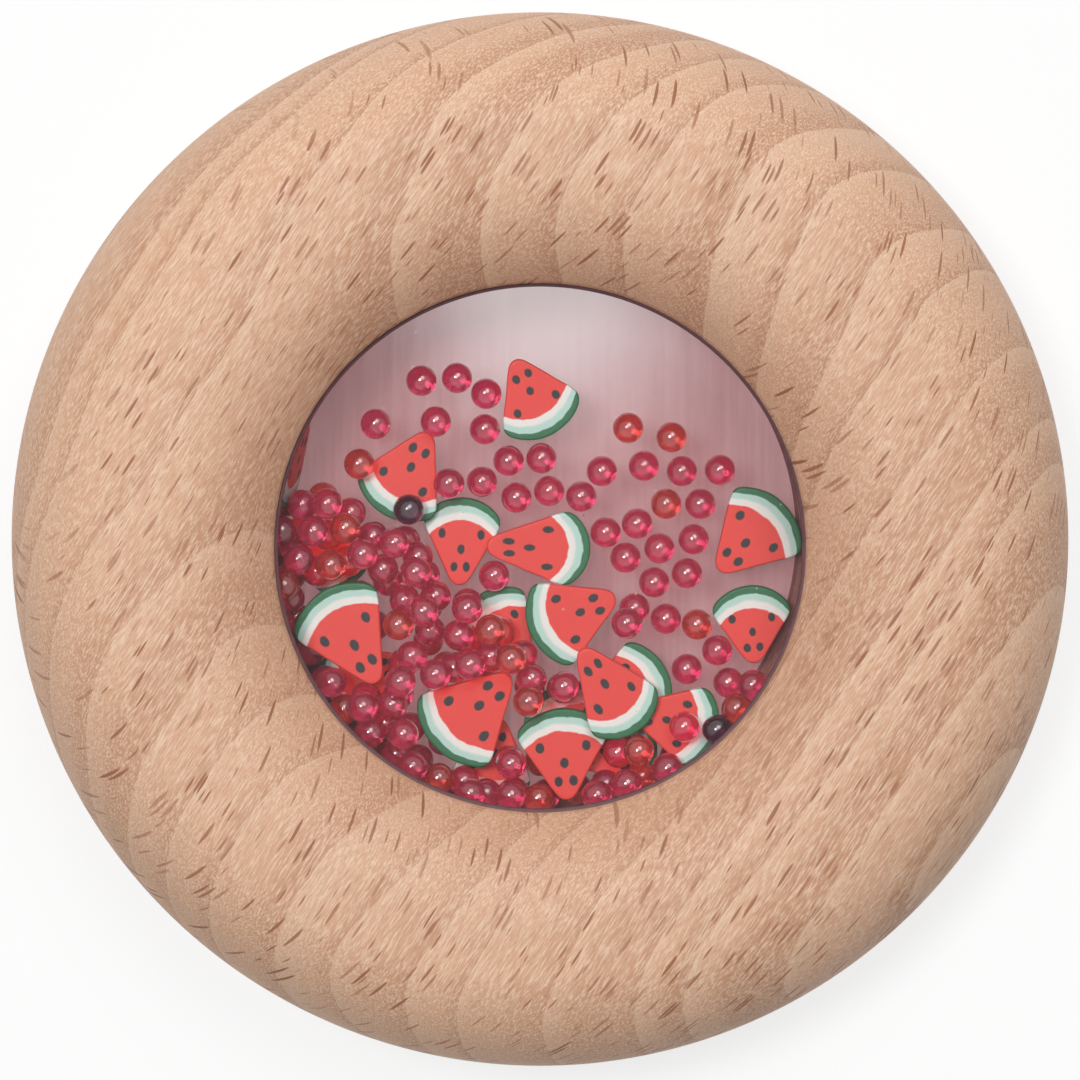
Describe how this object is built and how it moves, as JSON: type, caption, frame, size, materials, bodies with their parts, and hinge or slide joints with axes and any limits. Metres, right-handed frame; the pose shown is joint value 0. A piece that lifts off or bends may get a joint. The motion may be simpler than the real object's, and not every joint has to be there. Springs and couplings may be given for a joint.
{
  "type": "teething ring rattle",
  "caption": "Chunky round beech teething ring with a clear-windowed chamber in the middle, where loose red beads and clay watermelon slices rattle when it is shaken.",
  "frame": {"origin": "centre of the rear crown's flat land, on the ring's axis, where the ring rests when laid on its back", "axes": "+Z along the ring's axis, out of the front window; +X to the right and +Y up the picture"},
  "size_m": [0.08, 0.08, 0.02],
  "materials": {
    "beech": "sanded and oiled, satin",
    "clear_acrylic": "clear, polished",
    "red_pearl": "translucent with a pearl sheen",
    "clay": "baked clay, satin"
  },
  "bodies": {
    "casing": {"front_half_ring": "beech", "rear_half_ring": "beech", "front_window": "clear_acrylic", "rear_window": "clear_acrylic"},
    "fill_bed": {"watermelon_slice_01": "clay", "watermelon_slice_02": "clay", "watermelon_slice_03": "clay", "watermelon_slice_04": "clay", "watermelon_slice_05": "clay", "watermelon_slice_06": "clay", "watermelon_slice_07": "clay", "watermelon_slice_08": "clay", "watermelon_slice_09": "clay", "watermelon_slice_10": "clay", "watermelon_slice_12": "clay", "watermelon_slice_20": "clay", "bead_01": "red_pearl", "bead_02": "red_pearl", "bead_03": "red_pearl", "bead_04": "red_pearl", "bead_05": "red_pearl", "bead_06": "red_pearl", "bead_07": "red_pearl", "bead_08": "red_pearl", "bead_09": "red_pearl", "bead_10": "red_pearl"},
    "loose_watermelon_slice_11": {"watermelon_slice_11": "clay"},
    "loose_watermelon_slice_13": {"watermelon_slice_13": "clay"},
    "loose_watermelon_slice_14": {"watermelon_slice_14": "clay"},
    "loose_watermelon_slice_15": {"watermelon_slice_15": "clay"},
    "loose_watermelon_slice_16": {"watermelon_slice_16": "clay", "bead_15": "red_pearl", "bead_16": "red_pearl"},
    "loose_watermelon_slice_17": {"watermelon_slice_17": "clay"},
    "loose_watermelon_slice_18": {"watermelon_slice_18": "clay"},
    "loose_watermelon_slice_19": {"watermelon_slice_19": "clay"},
    "loose_bead_11": {"bead_11": "red_pearl"},
    "loose_bead_12": {"bead_12": "red_pearl"},
    "loose_bead_13": {"bead_13": "red_pearl"},
    "loose_bead_14": {"bead_14": "red_pearl"},
    "loose_bead_17": {"bead_17": "red_pearl"},
    "loose_bead_18": {"bead_18": "red_pearl"},
    "loose_bead_19": {"bead_19": "red_pearl"},
    "loose_bead_20": {"bead_20": "red_pearl"},
    "loose_bead_21": {"bead_21": "red_pearl"},
    "loose_bead_22": {"bead_22": "red_pearl"},
    "loose_bead_23": {"bead_23": "red_pearl"},
    "loose_bead_24": {"bead_24": "red_pearl"},
    "loose_bead_25": {"bead_25": "red_pearl"},
    "loose_bead_26": {"bead_26": "red_pearl"},
    "loose_bead_27": {"bead_27": "red_pearl"},
    "loose_bead_28": {"bead_28": "red_pearl"},
    "loose_bead_29": {"bead_29": "red_pearl"},
    "loose_bead_30": {"bead_30": "red_pearl"},
    "loose_bead_31": {"bead_31": "red_pearl"},
    "loose_bead_32": {"bead_32": "red_pearl"},
    "loose_bead_33": {"bead_33": "red_pearl"},
    "loose_bead_34": {"bead_34": "red_pearl"},
    "loose_bead_35": {"bead_35": "red_pearl"},
    "loose_bead_36": {"bead_36": "red_pearl"}
  },
  "joints": [
    {"name": "fill_swirl", "type": "hinge", "parent": "casing", "child": "fill_bed", "pos_m": [0, 0, 0.01], "axis": [0, 0, 1], "continuous": true},
    {"name": "watermelon_slice_11_hop", "type": "slide", "parent": "fill_bed", "child": "loose_watermelon_slice_11", "axis": [0, 0, 1], "range_m": [0, 0.001]},
    {"name": "watermelon_slice_13_hop", "type": "slide", "parent": "fill_bed", "child": "loose_watermelon_slice_13", "axis": [0, 0, 1], "range_m": [0, 0.0021]},
    {"name": "watermelon_slice_14_hop", "type": "slide", "parent": "fill_bed", "child": "loose_watermelon_slice_14", "axis": [0, 0, 1], "range_m": [0, 0.0036]},
    {"name": "watermelon_slice_15_hop", "type": "slide", "parent": "fill_bed", "child": "loose_watermelon_slice_15", "axis": [0, 0, 1], "range_m": [0, 0.0028]},
    {"name": "watermelon_slice_16_hop", "type": "slide", "parent": "fill_bed", "child": "loose_watermelon_slice_16", "axis": [0, 0, 1], "range_m": [0, 0.0027]},
    {"name": "watermelon_slice_17_hop", "type": "slide", "parent": "fill_bed", "child": "loose_watermelon_slice_17", "axis": [0, 0, 1], "range_m": [0, 0.0061]},
    {"name": "watermelon_slice_18_hop", "type": "slide", "parent": "fill_bed", "child": "loose_watermelon_slice_18", "axis": [0, 0, 1], "range_m": [0, 0.0061]},
    {"name": "watermelon_slice_19_hop", "type": "slide", "parent": "fill_bed", "child": "loose_watermelon_slice_19", "axis": [0, 0, 1], "range_m": [0, 0.0061]},
    {"name": "bead_11_hop", "type": "slide", "parent": "fill_bed", "child": "loose_bead_11", "axis": [0, 0, 1], "range_m": [0, 0.0046]},
    {"name": "bead_12_hop", "type": "slide", "parent": "fill_bed", "child": "loose_bead_12", "axis": [0, 0, 1], "range_m": [0, 0.0046]},
    {"name": "bead_13_hop", "type": "slide", "parent": "fill_bed", "child": "loose_bead_13", "axis": [0, 0, 1], "range_m": [0, 0.0046]},
    {"name": "bead_14_hop", "type": "slide", "parent": "fill_bed", "child": "loose_bead_14", "axis": [0, 0, 1], "range_m": [0, 0.0046]},
    {"name": "bead_17_hop", "type": "slide", "parent": "fill_bed", "child": "loose_bead_17", "axis": [0, 0, 1], "range_m": [0, 0.0046]},
    {"name": "bead_18_hop", "type": "slide", "parent": "fill_bed", "child": "loose_bead_18", "axis": [0, 0, 1], "range_m": [0, 0.0046]},
    {"name": "bead_19_hop", "type": "slide", "parent": "fill_bed", "child": "loose_bead_19", "axis": [0, 0, 1], "range_m": [0, 0.0046]},
    {"name": "bead_20_hop", "type": "slide", "parent": "fill_bed", "child": "loose_bead_20", "axis": [0, 0, 1], "range_m": [0, 0.0046]},
    {"name": "bead_21_hop", "type": "slide", "parent": "fill_bed", "child": "loose_bead_21", "axis": [0, 0, 1], "range_m": [0, 0.0046]},
    {"name": "bead_22_hop", "type": "slide", "parent": "fill_bed", "child": "loose_bead_22", "axis": [0, 0, 1], "range_m": [0, 0.0046]},
    {"name": "bead_23_hop", "type": "slide", "parent": "fill_bed", "child": "loose_bead_23", "axis": [0, 0, 1], "range_m": [0, 0.0046]},
    {"name": "bead_24_hop", "type": "slide", "parent": "fill_bed", "child": "loose_bead_24", "axis": [0, 0, 1], "range_m": [0, 0.0046]},
    {"name": "bead_25_hop", "type": "slide", "parent": "fill_bed", "child": "loose_bead_25", "axis": [0, 0, 1], "range_m": [0, 0.0046]},
    {"name": "bead_26_hop", "type": "slide", "parent": "fill_bed", "child": "loose_bead_26", "axis": [0, 0, 1], "range_m": [0, 0.0046]},
    {"name": "bead_27_hop", "type": "slide", "parent": "fill_bed", "child": "loose_bead_27", "axis": [0, 0, 1], "range_m": [0, 0.0046]},
    {"name": "bead_28_hop", "type": "slide", "parent": "fill_bed", "child": "loose_bead_28", "axis": [0, 0, 1], "range_m": [0, 0.0046]},
    {"name": "bead_29_hop", "type": "slide", "parent": "fill_bed", "child": "loose_bead_29", "axis": [0, 0, 1], "range_m": [0, 0.0046]},
    {"name": "bead_30_hop", "type": "slide", "parent": "fill_bed", "child": "loose_bead_30", "axis": [0, 0, 1], "range_m": [0, 0.0046]},
    {"name": "bead_31_hop", "type": "slide", "parent": "fill_bed", "child": "loose_bead_31", "axis": [0, 0, 1], "range_m": [0, 0.0046]},
    {"name": "bead_32_hop", "type": "slide", "parent": "fill_bed", "child": "loose_bead_32", "axis": [0, 0, 1], "range_m": [0, 0.0046]},
    {"name": "bead_33_hop", "type": "slide", "parent": "fill_bed", "child": "loose_bead_33", "axis": [0, 0, 1], "range_m": [0, 0.0046]},
    {"name": "bead_34_hop", "type": "slide", "parent": "fill_bed", "child": "loose_bead_34", "axis": [0, 0, 1], "range_m": [0, 0.0046]},
    {"name": "bead_35_hop", "type": "slide", "parent": "fill_bed", "child": "loose_bead_35", "axis": [0, 0, 1], "range_m": [0, 0.0046]},
    {"name": "bead_36_hop", "type": "slide", "parent": "fill_bed", "child": "loose_bead_36", "axis": [0, 0, 1], "range_m": [0, 0.0046]}
  ]
}
